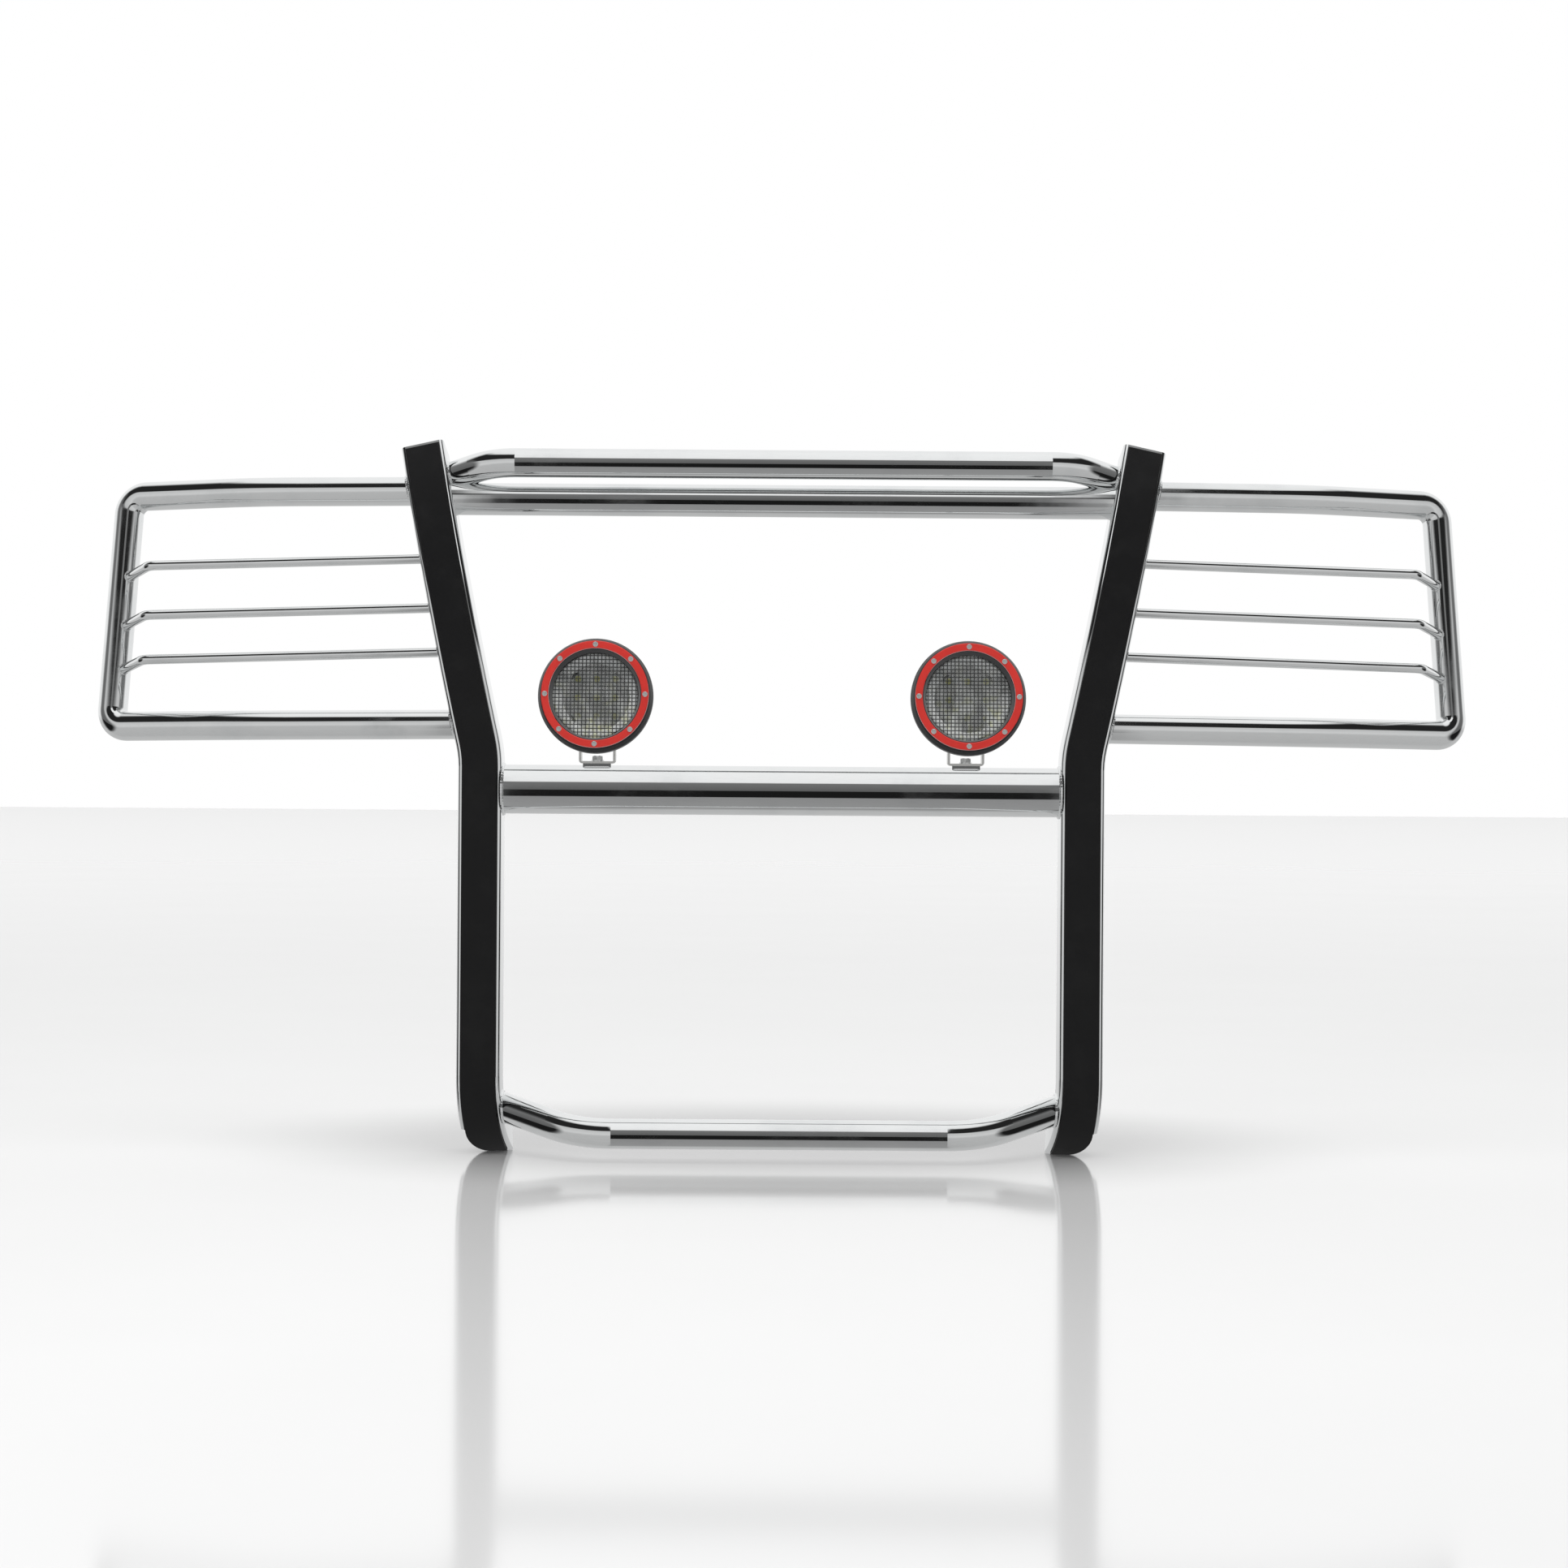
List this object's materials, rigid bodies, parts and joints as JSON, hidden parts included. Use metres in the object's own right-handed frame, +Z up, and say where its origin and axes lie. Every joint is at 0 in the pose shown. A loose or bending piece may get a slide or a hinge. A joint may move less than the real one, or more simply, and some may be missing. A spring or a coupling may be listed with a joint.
{
  "type": "front grille guard",
  "caption": "Bolt-on vehicle grille guard of polished tube with rubber-faced uprights, barred headlamp wings and round auxiliary lamps on swivelling U brackets.",
  "frame": {"origin": "centre of the four frame bolts, on the rear faces of the two frame brackets, midway between them", "axes": "+X to the viewer's right when facing the guard's front, +Y rearward into the vehicle along the frame bolts, +Z up; the front faces -Y"},
  "size_m": [1.8012, 0.2463, 0.9319],
  "materials": {
    "polished_stainless": "mirror-polished stainless steel",
    "black_rubber": "matte moulded rubber",
    "black_bracket_steel": "satin black powder coat",
    "zinc_steel": "zinc-plated steel",
    "bracket_stainless": "plain stainless sheet",
    "lamp_black": "die-cast aluminium, satin black paint",
    "bezel_red": "die-cast aluminium, gloss red paint",
    "lamp_black_plastic": "black plastic",
    "lens_clear": "clear ribbed lens",
    "reflector_silver": "bright aluminised surface",
    "board_white": "white solder mask",
    "emitter_yellow": "phosphor under clear silicone"
  },
  "bodies": {
    "guard": {"upright_left": "polished_stainless", "upright_right": "polished_stainless", "rubber_strip_left": "black_rubber", "rubber_strip_right": "black_rubber", "top_cap_left": "polished_stainless", "top_cap_right": "polished_stainless", "foot_plug_left": "polished_stainless", "foot_plug_right": "polished_stainless", "top_hoop_tube": "polished_stainless", "upper_cross_tube": "polished_stainless", "centre_cross_tube": "polished_stainless", "lower_hoop_tube": "polished_stainless", "wing_frame_left": "polished_stainless", "wing_frame_right": "polished_stainless", "wing_bar_left_upper": "polished_stainless", "wing_bar_left_middle": "polished_stainless", "wing_bar_left_lower": "polished_stainless", "wing_bar_right_upper": "polished_stainless", "wing_bar_right_middle": "polished_stainless", "wing_bar_right_lower": "polished_stainless", "mounting_tab_left": "black_bracket_steel", "mounting_tab_right": "black_bracket_steel", "frame_bracket_left": "black_bracket_steel", "frame_bracket_right": "black_bracket_steel", "bracket_bolts": "zinc_steel", "bracket_washers": "zinc_steel", "bracket_lock_washers": "zinc_steel", "bracket_nuts": "zinc_steel", "lamp_seat_left": "polished_stainless", "lamp_seat_right": "polished_stainless", "lamp_inserts": "zinc_steel", "lamp_base_washers": "zinc_steel", "lamp_base_bolts": "zinc_steel"},
    "swivel_left": {"lamp_bracket_left": "bracket_stainless"},
    "lamp_left": {"lamp_housing_left": "lamp_black", "lamp_bezel_left": "bezel_red", "bezel_screws_left": "zinc_steel", "lamp_lens_left": "lens_clear", "lens_ring_left": "lamp_black_plastic", "lamp_reflector_left": "reflector_silver", "led_board_left": "board_white", "led_emitters_left": "emitter_yellow", "cable_gland_left": "lamp_black_plastic", "tilt_bolts_left": "zinc_steel", "tilt_washers_left": "zinc_steel"},
    "swivel_right": {"lamp_bracket_right": "bracket_stainless"},
    "lamp_right": {"lamp_housing_right": "lamp_black", "lamp_bezel_right": "bezel_red", "bezel_screws_right": "zinc_steel", "lamp_lens_right": "lens_clear", "lens_ring_right": "lamp_black_plastic", "lamp_reflector_right": "reflector_silver", "led_board_right": "board_white", "led_emitters_right": "emitter_yellow", "cable_gland_right": "lamp_black_plastic", "tilt_bolts_right": "zinc_steel", "tilt_washers_right": "zinc_steel"}
  },
  "joints": [
    {"name": "lamp_swivel_left", "type": "hinge", "parent": "guard", "child": "swivel_left", "pos_m": [-0.2378, -0.15, 0.27445], "axis": [0, 0, 1], "range_deg": [-45, 45]},
    {"name": "lamp_tilt_left", "type": "hinge", "parent": "swivel_left", "child": "lamp_left", "pos_m": [-0.2378, -0.15, 0.35575], "axis": [-1, 0, 0], "range_deg": [-17, 24]},
    {"name": "lamp_swivel_right", "type": "hinge", "parent": "guard", "child": "swivel_right", "pos_m": [0.2378, -0.15, 0.27445], "axis": [0, 0, 1], "range_deg": [-45, 45]},
    {"name": "lamp_tilt_right", "type": "hinge", "parent": "swivel_right", "child": "lamp_right", "pos_m": [0.2378, -0.15, 0.35575], "axis": [-1, 0, 0], "range_deg": [-17, 24]}
  ]
}
